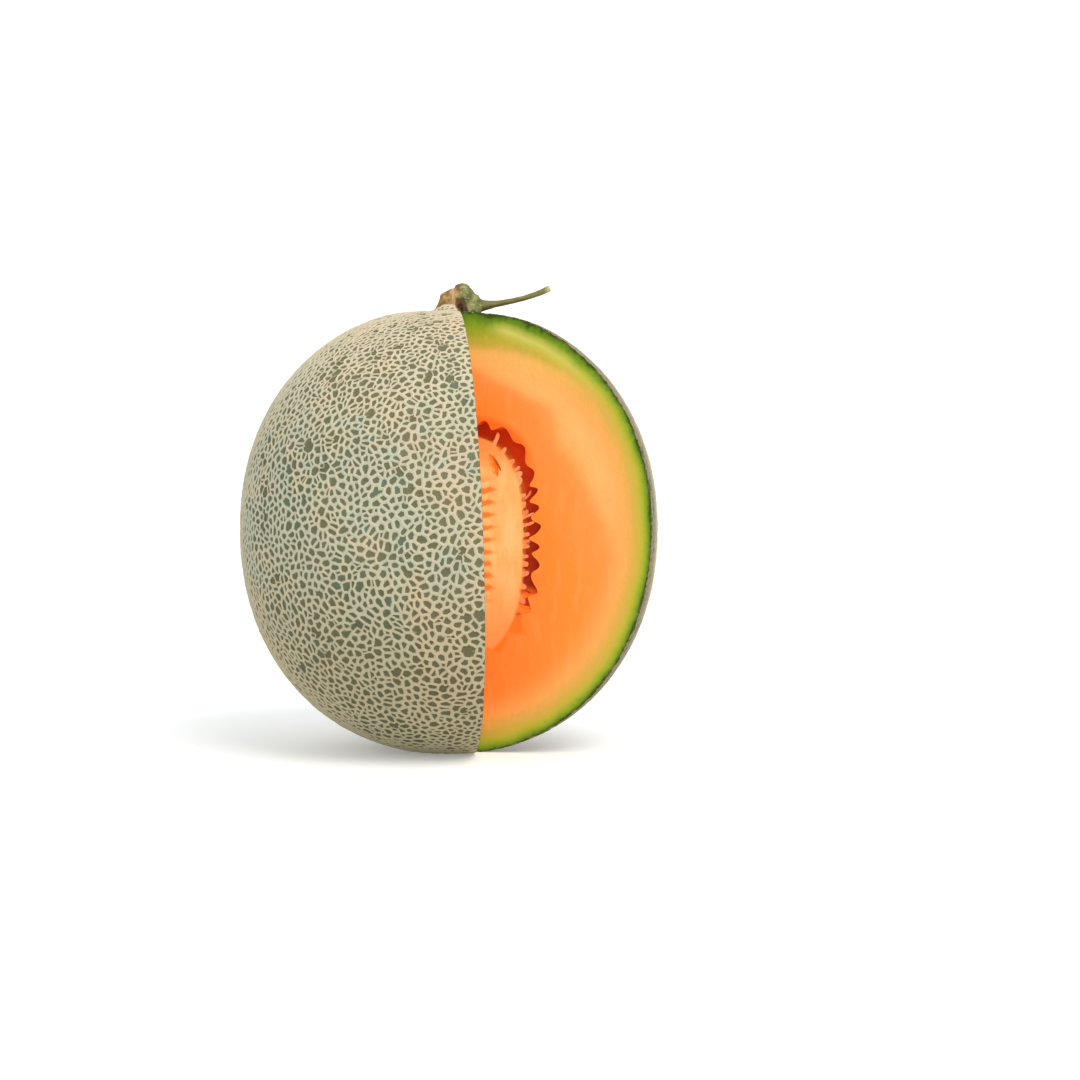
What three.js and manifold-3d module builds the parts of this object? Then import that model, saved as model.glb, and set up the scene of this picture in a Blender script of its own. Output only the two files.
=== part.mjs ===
// Netted cantaloupe melon with one wedge cut out of it. Millimetres, +Z up.
// The origin is on the axis of the fruit, on the small flat that it rests on.
// The wedge opens towards -Y, so the two cut faces lie left and right of the -Y direction.
//
// Four pieces: the netted rind, the orange flesh with its seed cavity, the pale mass of pulp
// and seeds in the cavity, and the dry stem.

import * as THREE from 'three';
import { ConvexHull } from 'three/addons/math/ConvexHull.js';
import { mergeVertices } from 'three/addons/utils/BufferGeometryUtils.js';
import Module from 'manifold-3d';

const wasm = await Module();
wasm.setup();

// ---- Driving dimensions -------------------------------------------------------------------

const GAP = 0.3; // between neighbouring pieces

// Rounded bodies of revolution: radius, heights above and below their widest level, exponent
// of the outline (2 is an ellipse, more is fuller) and height of the widest level over the
// fruit's own widest level.
const FRUIT = { radius: 75, top: 79.7, bottom: 81, fullness: 2.13, centre: 0 };
const RIND_INSIDE = { radius: 68.5, top: 70.7, bottom: 73.5, fullness: 2.13, centre: 0 };
const CAVITY = { radius: 33.6, top: 42.2, bottom: 42.2, fullness: 2.6, centre: -1.2 };
const PULP = { radius: 30.2, top: 39.8, bottom: 39.8, fullness: 2.6, centre: -2.9 };

const REST_DEPTH = 79.5; // from the widest level down to the flat underside

// The raised net of cork lines on the skin
const NET_CELLS = 500;
const NET_JITTER = 0.33; // of the pitch between cells
const NET_HEIGHT = 1.5;
const NET_INSET = 0.2; // part of the way from a corner of a cell to its middle
const NET_SEED = 7;

// The wedge that is cut out
const WEDGE_HALF_ANGLE = 35.7; // degrees, each side of -Y
const WEDGE_EDGE_Y = -9; // where the two cuts meet, at the widest level
const WEDGE_LEAN = 3.49; // degrees, the cuts reach further behind at the top
const WEDGE_REACH = 180;

// Bodies of revolution are cut into this many faces round and from pole to pole
const SHELL_ROUND = 30;
const SHELL_RINGS = 18;
const CAVITY_ROUND = 26;
const CAVITY_RINGS = 30;
const PULP_ROUND = 24;
const PULP_RINGS = 18;

const CAVITY_RIDGE = 0.7; // ridges stand this far in and out of the mean wall
const PULP_RIDGE = 0.25;

// Pale strands that stand out of the pulp along both cut faces
const STRAND_ROWS = [
  { depth: 1.9, pitch: 5.2, length: 4.4 },
  { depth: 6.2, pitch: 9.8, length: 3.6 },
];
const STRAND_FROM = 0.45; // radians down from the top of the pulp
const STRAND_TO = 2.75;
const STRAND_ARC = 1.12; // length of that stretch in parts of the height of the pulp
const STRAND_ROOT_RADIUS = 0.95;
const STRAND_TIP_RADIUS = 0.6;
const STRAND_SUNK = 2.2;
const STRAND_CLEARANCE = 0.5; // left between the tips and the ridged wall
const STRAND_SEED = 11;

// Seeds that show in the cut faces of the pulp
const SEED_LENGTH = 9.5;
const SEED_WIDTH = 4.4;
const SEED_HEIGHT = 2.6;
const SEED_PROUD = 0.5; // middle of a seed lies this far behind the cut face
const SEED_COLUMNS = [10, 18.5];
const SEED_PITCH = 7.4;
const SEED_SEED = 23;

// The stem: a corky foot with a knob where the vine was cut, and one thin arm of the vine
const STEM_X = 6.9;
const STEM_Y = 3.4;
const STEM_TURN = -40.4; // degrees, direction of the arm from +X
const STEM_SEAT_RADIUS = 9.2;
const STEM_SEAT_LEVEL = 77; // over the widest level
const STEM_RIBS = 5;
const STEM_RIB_DEPTH = 0.07; // of the radius
const STEM_FOOT_WIDTH = 0.82; // across, in parts of its length along the arm
const STEM_FOOT_PROFILE = [
  [0, 0], [8.0, 0], [8.5, 1.6], [8.0, 3.4], [6.9, 5.4], [6.2, 7.0], [4.6, 8.4], [2.4, 9.2], [0, 9.4],
];
const STEM_KNOB = { along: 1.9, up: 8.9, length: 3.5, width: 3.1, height: 2.5 };
const STEM_SHOULDER = { along: 6.6, up: 3.9, length: 3.9, width: 3.2, height: 2.9 };
const ARM_RADIUS = 1.2;
const ARM_ROUTE = [
  [5.0, 0, 3.4], [9.5, 0, 3.6], [13.5, 0.3, 3.9], [18.8, 0.8, 4.7],
  [24.2, 1.2, 5.9], [29.0, 1.2, 7.3], [33.0, 1.0, 9.2],
];
const ARM_SIDES = 8;
const ARM_STEPS = 12;
const ARM_TIP = { along: 32.4, across: 1.0, up: 8.9, length: 2.0, width: 1.5, height: 1.6 };

// ---- Shared geometry ----------------------------------------------------------------------

// Repeatable random numbers from 0 to 1.
function randomFrom(seed) {
  let state = seed;
  return () => {
    state = (state * 1664525 + 1013904223) % 4294967296;
    return state / 4294967296;
  };
}

// Distance from the middle of a rounded body to its surface, along a direction.
function reach(body, direction) {
  const height = direction.z > 0 ? body.top : body.bottom;
  const across = Math.hypot(direction.x, direction.y) / body.radius;
  const up = Math.abs(direction.z) / height;
  return 1 / (across ** body.fullness + up ** body.fullness) ** (1 / body.fullness);
}

// Point on a rounded body in a direction, raised off its surface or sunk under it.
function surfacePoint(body, direction, raised = 0) {
  const unit = direction.clone().normalize();
  const point = unit.multiplyScalar(reach(body, unit) + raised);
  point.z += body.centre;
  return point;
}

function toSolid(geometry) {
  const bare = geometry.clone();
  bare.deleteAttribute('normal');
  bare.deleteAttribute('uv');
  const merged = mergeVertices(bare, 1e-4);
  return new wasm.Manifold(new wasm.Mesh({
    numProp: 3,
    vertProperties: new Float32Array(merged.attributes.position.array),
    triVerts: new Uint32Array(merged.index.array),
  }));
}

function toGeometry(solid) {
  const mesh = solid.getMesh();
  const geometry = new THREE.BufferGeometry();
  geometry.setAttribute('position', new THREE.BufferAttribute(mesh.vertProperties, 3));
  geometry.setIndex(new THREE.BufferAttribute(mesh.triVerts, 1));
  geometry.computeVertexNormals();
  return geometry;
}

// Closed skin of a rounded body. The ridges stand in and out by turns from pole to pole,
// and fade and swell round the body.
function roundedBody(body, round, rings, ridge = 0) {
  const geometry = new THREE.SphereGeometry(1, round, rings);
  geometry.rotateX(Math.PI / 2);
  const positions = geometry.attributes.position;
  const direction = new THREE.Vector3();
  for (let i = 0; i < positions.count; i += 1) {
    direction.fromBufferAttribute(positions, i).normalize();
    const polar = Math.acos(THREE.MathUtils.clamp(direction.z, -1, 1));
    const turn = Math.atan2(direction.y, direction.x);
    const swell = 0.8 + 0.2 * Math.cos(3 * turn);
    const fade = Math.min(1, 3 * Math.sin(polar));
    const point = surfacePoint(body, direction, ridge * swell * fade * Math.cos(rings * polar));
    positions.setXYZ(i, point.x, point.y, point.z);
  }
  return toSolid(geometry);
}

// The wedge of air between the two cuts.
function wedgeSolid() {
  const side = WEDGE_REACH * Math.tan(THREE.MathUtils.degToRad(WEDGE_HALF_ANGLE));
  const section = new THREE.Shape();
  section.moveTo(0, 0);
  section.lineTo(-side, -WEDGE_REACH);
  section.lineTo(side, -WEDGE_REACH);
  section.closePath();
  const geometry = new THREE.ExtrudeGeometry(section, { depth: 2 * WEDGE_REACH, bevelEnabled: false });
  geometry.translate(0, 0, -WEDGE_REACH);
  geometry.rotateX(-THREE.MathUtils.degToRad(WEDGE_LEAN));
  geometry.translate(0, WEDGE_EDGE_Y, 0);
  return toSolid(geometry);
}

// Frame of one cut face. side is -1 for the left cut and 1 for the right one.
// outward runs from the fruit's axis across the face to the skin, up runs along the edge
// where the cuts meet, behind points from the face into the fruit, and through is square to
// the face on the side that makes a right-handed frame. foot is the point nearest the axis.
function cutFace(side) {
  const half = THREE.MathUtils.degToRad(WEDGE_HALF_ANGLE);
  const lean = new THREE.Matrix4().makeRotationX(-THREE.MathUtils.degToRad(WEDGE_LEAN));
  const outward = new THREE.Vector3(side * Math.sin(half), -Math.cos(half), 0);
  const behind = new THREE.Vector3(side * Math.cos(half), Math.sin(half), 0);
  const up = new THREE.Vector3(0, 0, 1);
  [outward, behind, up].forEach((axis) => axis.applyMatrix4(lean));
  const edge = new THREE.Vector3(0, WEDGE_EDGE_Y, 0);
  const foot = edge.clone().addScaledVector(outward, -edge.dot(outward));
  const through = up.clone().cross(outward);
  return { outward, behind, up, through, foot };
}

// ---- Netted rind --------------------------------------------------------------------------

// Middles of the net's cells, spread evenly over a ball and then shifted at random.
function cellMiddles() {
  const random = randomFrom(NET_SEED);
  const golden = Math.PI * (3 - Math.sqrt(5));
  const shift = NET_JITTER * Math.sqrt((4 * Math.PI) / NET_CELLS);
  const middles = [];
  for (let i = 0; i < NET_CELLS; i += 1) {
    const z = 1 - (2 * i + 1) / NET_CELLS;
    const ring = Math.sqrt(1 - z * z);
    const middle = new THREE.Vector3(ring * Math.cos(i * golden), ring * Math.sin(i * golden), z);
    middle.x += shift * (2 * random() - 1);
    middle.y += shift * (2 * random() - 1);
    middle.z += shift * (2 * random() - 1);
    middles.push(middle.normalize());
  }
  return middles;
}

// Skin of closed cells. Each border between two cells is a sharp cork ridge, and the floor
// of each cell is a flat patch of green skin lower down.
function nettedSkin() {
  const hull = new ConvexHull().setFromPoints(cellMiddles());
  const vertices = [];
  const ringStart = new Map();
  hull.faces.forEach((face) => {
    let edge = face.edge;
    do {
      ringStart.set(edge.head().point, edge);
      edge = edge.next;
    } while (edge !== face.edge);
    face.number = vertices.length;
    vertices.push(surfacePoint(FRUIT, face.normal));
  });
  const triangles = [];
  ringStart.forEach((start, middle) => {
    const ring = [];
    let edge = start;
    do {
      ring.push(edge.face);
      edge = edge.next.twin;
    } while (edge !== start);
    const first = vertices.length;
    ring.forEach((face) => {
      const inset = face.normal.clone().normalize().lerp(middle, NET_INSET);
      vertices.push(surfacePoint(FRUIT, inset, -NET_HEIGHT));
    });
    ring.forEach((face, k) => {
      const next = (k + 1) % ring.length;
      triangles.push(face.number, first + k, ring[next].number);
      triangles.push(ring[next].number, first + k, first + next);
      if (k > 0 && k < ring.length - 1) {
        triangles.push(first, first + next, first + k);
      }
    });
  });
  const geometry = new THREE.BufferGeometry();
  geometry.setAttribute(
    'position',
    new THREE.Float32BufferAttribute(vertices.flatMap((v) => v.toArray()), 3),
  );
  geometry.setIndex(triangles);
  return toSolid(geometry);
}

function makeRind(wedge) {
  const seat = new THREE.CylinderGeometry(STEM_SEAT_RADIUS, STEM_SEAT_RADIUS, 20, 24);
  seat.rotateX(Math.PI / 2);
  seat.translate(STEM_X, STEM_Y, STEM_SEAT_LEVEL + 10);
  const floor = new THREE.BoxGeometry(200, 200, 20);
  floor.translate(0, 0, -REST_DEPTH - 10);
  const rind = nettedSkin()
    .subtract(roundedBody(RIND_INSIDE, SHELL_ROUND, SHELL_RINGS))
    .subtract(toSolid(seat))
    .subtract(toSolid(floor))
    .subtract(wedge);
  const material = new THREE.MeshStandardMaterial({ color: 0xa9ab8c, roughness: 0.8, metalness: 0 });
  return namedMesh('rind', rind, material);
}

// ---- Flesh --------------------------------------------------------------------------------

function makeFlesh(wedge) {
  const outside = {
    ...RIND_INSIDE,
    radius: RIND_INSIDE.radius - GAP,
    top: RIND_INSIDE.top - GAP,
    bottom: RIND_INSIDE.bottom - GAP,
  };
  const flesh = roundedBody(outside, SHELL_ROUND, SHELL_RINGS)
    .subtract(roundedBody(CAVITY, CAVITY_ROUND, CAVITY_RINGS, CAVITY_RIDGE))
    .subtract(wedge);
  const material = new THREE.MeshStandardMaterial({ color: 0xfb9f48, roughness: 0.45, metalness: 0 });
  return namedMesh('flesh', flesh, material);
}

// ---- Pulp and seeds -----------------------------------------------------------------------

// Tapered strand from a root towards a tip.
function strand(root, tip) {
  const length = root.distanceTo(tip);
  const geometry = new THREE.CylinderGeometry(STRAND_TIP_RADIUS, STRAND_ROOT_RADIUS, length, 5);
  geometry.translate(0, length / 2, 0);
  const direction = tip.clone().sub(root).normalize();
  const turn = new THREE.Quaternion().setFromUnitVectors(new THREE.Vector3(0, 1, 0), direction);
  geometry.applyQuaternion(turn);
  geometry.translate(root.x, root.y, root.z);
  return toSolid(geometry);
}

// Rows of strands behind a cut face, which reach across to the wall of the cavity.
function strandsBehind(face, random) {
  const strands = [];
  STRAND_ROWS.forEach(({ depth, pitch, length }) => {
    const rise = PULP.top + PULP.bottom;
    const count = Math.round((STRAND_ARC * rise) / pitch);
    for (let i = 0; i <= count; i += 1) {
      const polar = STRAND_FROM + ((STRAND_TO - STRAND_FROM) * i) / count;
      const slant = 0.3 * (random() - 0.5);
      const behind = depth + 0.6 * (random() - 0.5);
      const ray = face.outward.clone().multiplyScalar(Math.sin(polar));
      ray.addScaledVector(face.up, Math.cos(polar));
      ray.addScaledVector(face.behind, behind / PULP.radius);
      const root = surfacePoint(PULP, ray, -STRAND_SUNK);
      const skin = surfacePoint(PULP, ray);
      const heading = skin.clone().sub(root).normalize();
      heading.addScaledVector(face.up, slant).normalize();
      const tip = skin.clone().addScaledVector(heading, length);
      while (isPastWall(tip)) {
        tip.addScaledVector(heading, -0.25);
      }
      strands.push(strand(root, tip));
    }
  });
  return strands;
}

// Whether the end of a strand is too near the ridged wall of the cavity.
function isPastWall(point) {
  const clearance = CAVITY_RIDGE + STRAND_TIP_RADIUS + STRAND_CLEARANCE;
  const fromMiddle = point.clone();
  fromMiddle.z -= CAVITY.centre;
  return fromMiddle.length() > reach(CAVITY, fromMiddle.clone().normalize()) - clearance;
}

// Flat pointed seeds in columns, half sunk in a cut face.
function seedsOn(face, random) {
  const seeds = [];
  SEED_COLUMNS.forEach((column, c) => {
    const limit = 0.8 * PULP.top * Math.sqrt(1 - (column / PULP.radius) ** 2);
    const count = Math.floor((2 * limit) / SEED_PITCH);
    for (let i = 0; i <= count; i += 1) {
      const up = (i - count / 2) * SEED_PITCH + (c % 2) * 0.5 * SEED_PITCH + 1.6 * (random() - 0.5);
      const tilt = (c % 2 ? 0.5 : -0.35) + 0.5 * (random() - 0.5);
      const geometry = new THREE.SphereGeometry(1, 6, 4);
      geometry.scale(SEED_LENGTH / 2, SEED_HEIGHT / 2, SEED_WIDTH / 2);
      geometry.rotateY(tilt);
      const place = new THREE.Matrix4().makeBasis(face.outward, face.through, face.up);
      const middle = face.foot.clone()
        .addScaledVector(face.outward, column + 1.5 * (random() - 0.5))
        .addScaledVector(face.behind, SEED_PROUD)
        .addScaledVector(face.up, up + PULP.centre);
      place.setPosition(middle);
      geometry.applyMatrix4(place);
      seeds.push(toSolid(geometry));
    }
  });
  return seeds;
}

function makeSeedMass(wedge) {
  const strandRandom = randomFrom(STRAND_SEED);
  const seedRandom = randomFrom(SEED_SEED);
  const faces = [cutFace(-1), cutFace(1)];
  let mass = roundedBody(PULP, PULP_ROUND, PULP_RINGS, PULP_RIDGE);
  faces.forEach((face) => {
    strandsBehind(face, strandRandom).forEach((piece) => {
      mass = mass.add(piece);
    });
  });
  mass = mass.subtract(wedge);
  faces.forEach((face) => {
    seedsOn(face, seedRandom).forEach((seed) => {
      mass = mass.add(seed);
    });
  });
  const material = new THREE.MeshStandardMaterial({ color: 0xfcc488, roughness: 0.4, metalness: 0 });
  return namedMesh('seed_mass', mass, material);
}

// ---- Stem ---------------------------------------------------------------------------------

function lump({ along, across = 0, up, length, width, height }) {
  const geometry = new THREE.SphereGeometry(1, 10, 6);
  geometry.scale(length, width, height);
  geometry.translate(along, across, up);
  return toSolid(geometry);
}

function stemFoot() {
  const profile = STEM_FOOT_PROFILE.map(([radius, up]) => new THREE.Vector2(radius, up));
  const geometry = new THREE.LatheGeometry(profile, 20);
  geometry.rotateX(Math.PI / 2);
  const positions = geometry.attributes.position;
  for (let i = 0; i < positions.count; i += 1) {
    const turn = Math.atan2(positions.getY(i), positions.getX(i));
    const rib = 1 + STEM_RIB_DEPTH * Math.cos(STEM_RIBS * turn);
    positions.setX(i, positions.getX(i) * rib);
    positions.setY(i, positions.getY(i) * rib * STEM_FOOT_WIDTH);
  }
  return toSolid(geometry);
}

function stemArm() {
  const route = new THREE.CatmullRomCurve3(ARM_ROUTE.map((point) => new THREE.Vector3(...point)));
  const section = new THREE.Shape();
  for (let i = 0; i < ARM_SIDES; i += 1) {
    const turn = (2 * Math.PI * i) / ARM_SIDES;
    const x = ARM_RADIUS * Math.cos(turn);
    const y = ARM_RADIUS * Math.sin(turn);
    if (i === 0) {
      section.moveTo(x, y);
    } else {
      section.lineTo(x, y);
    }
  }
  section.closePath();
  const geometry = new THREE.ExtrudeGeometry(section, { steps: ARM_STEPS, extrudePath: route });
  return toSolid(geometry);
}

function makeStem() {
  const stem = stemFoot()
    .add(lump(STEM_KNOB))
    .add(lump(STEM_SHOULDER))
    .add(stemArm())
    .add(lump(ARM_TIP));
  const material = new THREE.MeshStandardMaterial({ color: 0x8f8d5c, roughness: 0.85, metalness: 0 });
  const mesh = namedMesh('stem', stem, material);
  mesh.position.set(STEM_X, STEM_Y, STEM_SEAT_LEVEL + GAP);
  mesh.rotation.z = THREE.MathUtils.degToRad(STEM_TURN);
  return mesh;
}

// ---- The whole melon ----------------------------------------------------------------------

function namedMesh(name, solid, material) {
  const mesh = new THREE.Mesh(toGeometry(solid), material);
  mesh.name = name;
  return mesh;
}

const wedge = wedgeSolid();
const melon = new THREE.Group();
melon.name = 'melon';
melon.position.z = REST_DEPTH;
melon.add(makeRind(wedge), makeFlesh(wedge), makeSeedMass(wedge), makeStem());

export default melon;
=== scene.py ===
import math
import random
from contextlib import contextmanager

import bmesh
import bpy
from mathutils import Matrix, Vector, noise


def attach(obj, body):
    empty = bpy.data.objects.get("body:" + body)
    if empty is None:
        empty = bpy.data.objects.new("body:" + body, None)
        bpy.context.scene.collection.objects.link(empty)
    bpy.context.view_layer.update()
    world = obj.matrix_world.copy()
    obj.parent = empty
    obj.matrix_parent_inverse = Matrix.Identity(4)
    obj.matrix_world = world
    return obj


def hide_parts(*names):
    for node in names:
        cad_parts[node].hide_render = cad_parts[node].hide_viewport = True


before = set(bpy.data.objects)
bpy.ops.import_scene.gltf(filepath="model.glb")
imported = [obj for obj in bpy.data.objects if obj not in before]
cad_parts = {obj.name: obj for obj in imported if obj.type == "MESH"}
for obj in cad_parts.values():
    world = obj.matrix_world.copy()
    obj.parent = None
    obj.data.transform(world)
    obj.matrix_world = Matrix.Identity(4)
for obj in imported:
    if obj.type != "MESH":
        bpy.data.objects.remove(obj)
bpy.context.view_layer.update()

# ---- Rind ---------------------------------------------------------------------------------
# The rind is one shell of firm green tissue with a waxy grey-green skin. As the fruit swells
# the skin splits, and each split heals into a raised line of pale cork, so that the lines
# close into a net. The knife leaves the green section of the shell bare on both cut faces.

MM = 0.001

# A rounded body: radius, heights over and under its widest level, how full its outline is
# (2 is an ellipse) and the level of its widest part.
WIDEST = 79.5 * MM
SKIN = {"radius": 74.55 * MM, "top": 79.2 * MM, "bottom": 80.5 * MM, "fullness": 2.13, "level": WIDEST}
RIND_INSIDE = {**SKIN, "radius": 68.4 * MM, "top": 70.6 * MM, "bottom": 73.4 * MM}

WEDGE_HALF_ANGLE = math.radians(35.7)
WEDGE_LEAN = math.radians(3.49)
WEDGE_EDGE = Vector((0, -9 * MM, WIDEST))
WEDGE_REACH = 180 * MM

# Cells on the whole ball, and how far their middles and corners are shifted, as shares of the
# pitch. Crowding draws the cells towards the stem end.
NET_CELLS = 11300
NET_SHIFT = 0.56
CORNER_SHIFT = 0.14
NET_CROWDING = 0.42
SHORT_BORDER = 0.42 * MM
NET_SEED = 5

# A line of cork: its height, the width of one side, and how uneven both are.
NET_HEIGHT = 0.42 * MM
CREST_UNEVEN = 0.45
CRESTS_ROUND = 45
LINE_SIDE = 0.74 * MM
LEAST_SIDE = 0.03 * MM
LINE_UNEVEN = 0.5
LINE_PATCH = 9 * MM
LINE_SHARE = 0.55
FLOOR_DISH = 0.3

# The stem end: the skin dips round the stem, and one side of the dip rises in a lip.
STEM_END_RISE = 0.8
STEM_AT = (6.9 * MM, 3.4 * MM)
DIP = {"deep": 1.6 * MM, "inner": 8 * MM, "outer": 32 * MM}
LIP = {"high": 2.5 * MM, "at": (-0.7 * MM, -1 * MM), "inner": 1 * MM, "outer": 8 * MM}
LIP_END = {"inner": 2.2 * MM, "outer": 3.4 * MM}
LIP_WAY = (0.76, -0.65)

# Flat faces: corners closer than the first are one, a vertex nearer than the second lies on
# the flat, and a face with more corners than the third is a wide one, left by the knife.
SAME_SPOT = 0.002 * MM
ON_FLAT = 0.001 * MM
WIDE_FACE = 6


def reach(body, direction):
    """Distance from the middle of a rounded body to its surface, along a direction."""
    height = body["top"] if direction.z > 0 else body["bottom"]
    across = math.hypot(direction.x, direction.y) / body["radius"]
    up = abs(direction.z) / height
    return (across ** body["fullness"] + up ** body["fullness"]) ** (-1 / body["fullness"])


def wrap_over(body, verts, raised):
    """Moves vertices along their own directions onto a rounded body, plus a height there."""
    for vert in verts:
        direction = vert.co.normalized()
        vert.co = direction * (reach(body, direction) + raised(direction))
        vert.co.z += body["level"]


def swell(away, form):
    """1 nearer than the inner distance, falling smoothly to 0 at the outer one."""
    share = max(0, min(1, (form["outer"] - away) / (form["outer"] - form["inner"])))
    return share * share * (3 - 2 * share)


def skin_reach(direction):
    """The skin between the lines of cork. It dips round the stem, with a lip on one side."""
    plain = reach(SKIN, direction)
    if direction.z < STEM_END_RISE:
        return plain
    x, y = direction.x * plain, direction.y * plain
    dip = DIP["deep"] * swell(math.hypot(x - STEM_AT[0], y - STEM_AT[1]), DIP)
    lip = LIP["high"] * swell(math.hypot(x - LIP["at"][0], y - LIP["at"][1]), LIP)
    lip *= swell(LIP_WAY[0] * x + LIP_WAY[1] * y, LIP_END)
    return plain - dip + lip


def as_object(shape, name):
    """Turns a bmesh into an object at the origin."""
    mesh = bpy.data.meshes.new(name)
    shape.to_mesh(mesh)
    shape.free()
    piece = bpy.data.objects.new(name, mesh)
    bpy.context.collection.objects.link(piece)
    return piece


@contextmanager
def opened(piece):
    """Opens a piece's mesh for a change, and then puts it back."""
    shape = bmesh.new()
    shape.from_mesh(piece.data)
    yield shape
    shape.to_mesh(piece.data)
    shape.free()


def settle(piece):
    """Makes a piece's modifiers part of its mesh."""
    graph = bpy.context.evaluated_depsgraph_get()
    mesh = bpy.data.meshes.new_from_object(piece.evaluated_get(graph))
    piece.modifiers.clear()
    old = piece.data
    piece.data = mesh
    bpy.data.meshes.remove(old)


def carve(piece, tool, operation="DIFFERENCE"):
    """Cuts a closed piece with another, or joins them."""
    cut = piece.modifiers.new("carve", "BOOLEAN")
    cut.solver = "MANIFOLD"
    cut.operation = operation
    cut.object = tool
    settle(piece)
    bpy.data.objects.remove(tool)


def refill_cuts(piece):
    """Fills the flat faces of both cuts and of the foot anew with triangles."""
    flats = [(WEDGE_EDGE, inward) for inward, outward, up in cut_frames()]
    flats.append((Vector(), Vector((0, 0, 1))))
    with opened(piece) as shape:
        bmesh.ops.dissolve_degenerate(shape, edges=shape.edges, dist=SAME_SPOT)
        for start, inward in flats:
            wide = [face for face in shape.faces if len(face.verts) > WIDE_FACE]
            level = [
                face
                for face in wide
                if all(abs((vert.co - start).dot(inward)) < ON_FLAT for vert in face.verts)
            ]
            within = set(level)
            edges = dict.fromkeys(edge for face in level for edge in face.edges)
            rim = [edge for edge in edges if sum(face in within for face in edge.link_faces) == 1]
            bmesh.ops.delete(shape, geom=level, context="FACES_ONLY")
            bmesh.ops.triangle_fill(shape, edges=rim, use_beauty=True, normal=-inward)
        loose = [edge for edge in shape.edges if not edge.link_faces]
        bmesh.ops.delete(shape, geom=loose, context="EDGES")
        bmesh.ops.recalc_face_normals(shape, faces=shape.faces)


def smooth_all_but_cuts(piece, sharp, same_way=0.9999):
    """Smooth shading, with sharp edges past an angle and the faces of both cuts left flat."""
    piece.data.shade_smooth()
    piece.data.set_sharp_from_angle(angle=sharp)
    for inward, outward, up in cut_frames():
        for face in piece.data.polygons:
            if abs(face.normal.dot(inward)) > same_way:
                face.use_smooth = False


def rounded_ball(name, body, around=120, rings=80, raised=lambda direction: 0):
    """A rounded body as a closed ball, which may be raised by a height in each direction."""
    ball = bmesh.new()
    bmesh.ops.create_uvsphere(ball, u_segments=around, v_segments=rings, radius=1)
    wrap_over(body, ball.verts, raised)
    return as_object(ball, name)


def cut_frames(lean=WEDGE_LEAN):
    """For each cut: the way into the fruit, the way out to the skin, and the way up."""
    lean = Matrix.Rotation(-lean, 3, "X")
    frames = []
    for side in (-1, 1):
        inward = lean @ Vector((side * math.cos(WEDGE_HALF_ANGLE), math.sin(WEDGE_HALF_ANGLE), 0))
        outward = lean @ Vector((side * math.sin(WEDGE_HALF_ANGLE), -math.cos(WEDGE_HALF_ANGLE), 0))
        frames.append((inward, outward, lean @ Vector((0, 0, 1))))
    return frames


def wedge_of_air(back=0, lean=WEDGE_LEAN):
    """The space between the two cuts, or one set back from them and leaning by more."""
    wedge = bmesh.new()
    side = WEDGE_REACH * math.tan(WEDGE_HALF_ANGLE)
    corners = [(0, 0), (-side, -WEDGE_REACH), (side, -WEDGE_REACH)]
    foot = wedge.faces.new([wedge.verts.new((x, y, -WEDGE_REACH)) for x, y in corners])
    block = bmesh.ops.extrude_face_region(wedge, geom=[foot])["geom"]
    top = [part for part in block if isinstance(part, bmesh.types.BMVert)]
    bmesh.ops.translate(wedge, verts=top, vec=(0, 0, 2 * WEDGE_REACH))
    bmesh.ops.rotate(wedge, verts=wedge.verts, matrix=Matrix.Rotation(-lean, 3, "X"))
    bmesh.ops.translate(wedge, verts=wedge.verts, vec=WEDGE_EDGE + Vector((0, back, 0)))
    bmesh.ops.recalc_face_normals(wedge, faces=wedge.faces)
    return as_object(wedge, "wedge_of_air")


def jitter(draw, far):
    """A random shift, up to this far along each axis."""
    return far * Vector([draw.uniform(-1, 1) for _ in range(3)])


def cell_borders():
    """A ball of closed cells, whose borders are where the lines of cork run."""
    draw = random.Random(NET_SEED)
    turn = math.pi * (3 - math.sqrt(5))
    pitch = math.sqrt(4 * math.pi / NET_CELLS)
    net = bmesh.new()
    for i in range(NET_CELLS):
        polar = math.acos(1 - (2 * i + 1) / NET_CELLS)
        polar -= NET_CROWDING * math.sin(polar) * (1 + math.cos(polar)) / 2
        out = math.sin(polar)
        middle = Vector((out * math.cos(i * turn), out * math.sin(i * turn), math.cos(polar)))
        middle += jitter(draw, NET_SHIFT * pitch)
        net.verts.new(middle.normalized())
    bmesh.ops.convex_hull(net, input=net.verts)
    middles = list(net.verts)
    across = list(net.edges)
    bmesh.ops.poke(net, faces=net.faces)
    bmesh.ops.rotate_edges(net, edges=across)
    bmesh.ops.dissolve_verts(net, verts=middles)
    for corner in net.verts:
        corner.co += jitter(draw, CORNER_SHIFT * pitch)
        corner.co.normalize()
    bmesh.ops.dissolve_degenerate(net, edges=net.edges, dist=SHORT_BORDER / SKIN["radius"])
    return net


def inset_cells(net, cells):
    """Insets every cell by the width of a line's side, and small cells by a share of their size."""
    groups = {}
    for cell in cells:
        middle = cell.calc_center_median()
        room = LINE_SIDE * (1 + LINE_UNEVEN * noise.noise(middle / LINE_PATCH))
        for edge in cell.edges:
            start, end = (vert.co for vert in edge.verts)
            off_border = (end - start).normalized().cross(middle - start).length
            room = min(room, LINE_SHARE * off_border)
        groups.setdefault(round(room / MM, 1) * MM, []).append(cell)
    for room, group in sorted(groups.items()):
        width = max(room, LEAST_SIDE)
        bmesh.ops.inset_individual(net, faces=group, thickness=width, use_even_offset=True)


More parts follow.
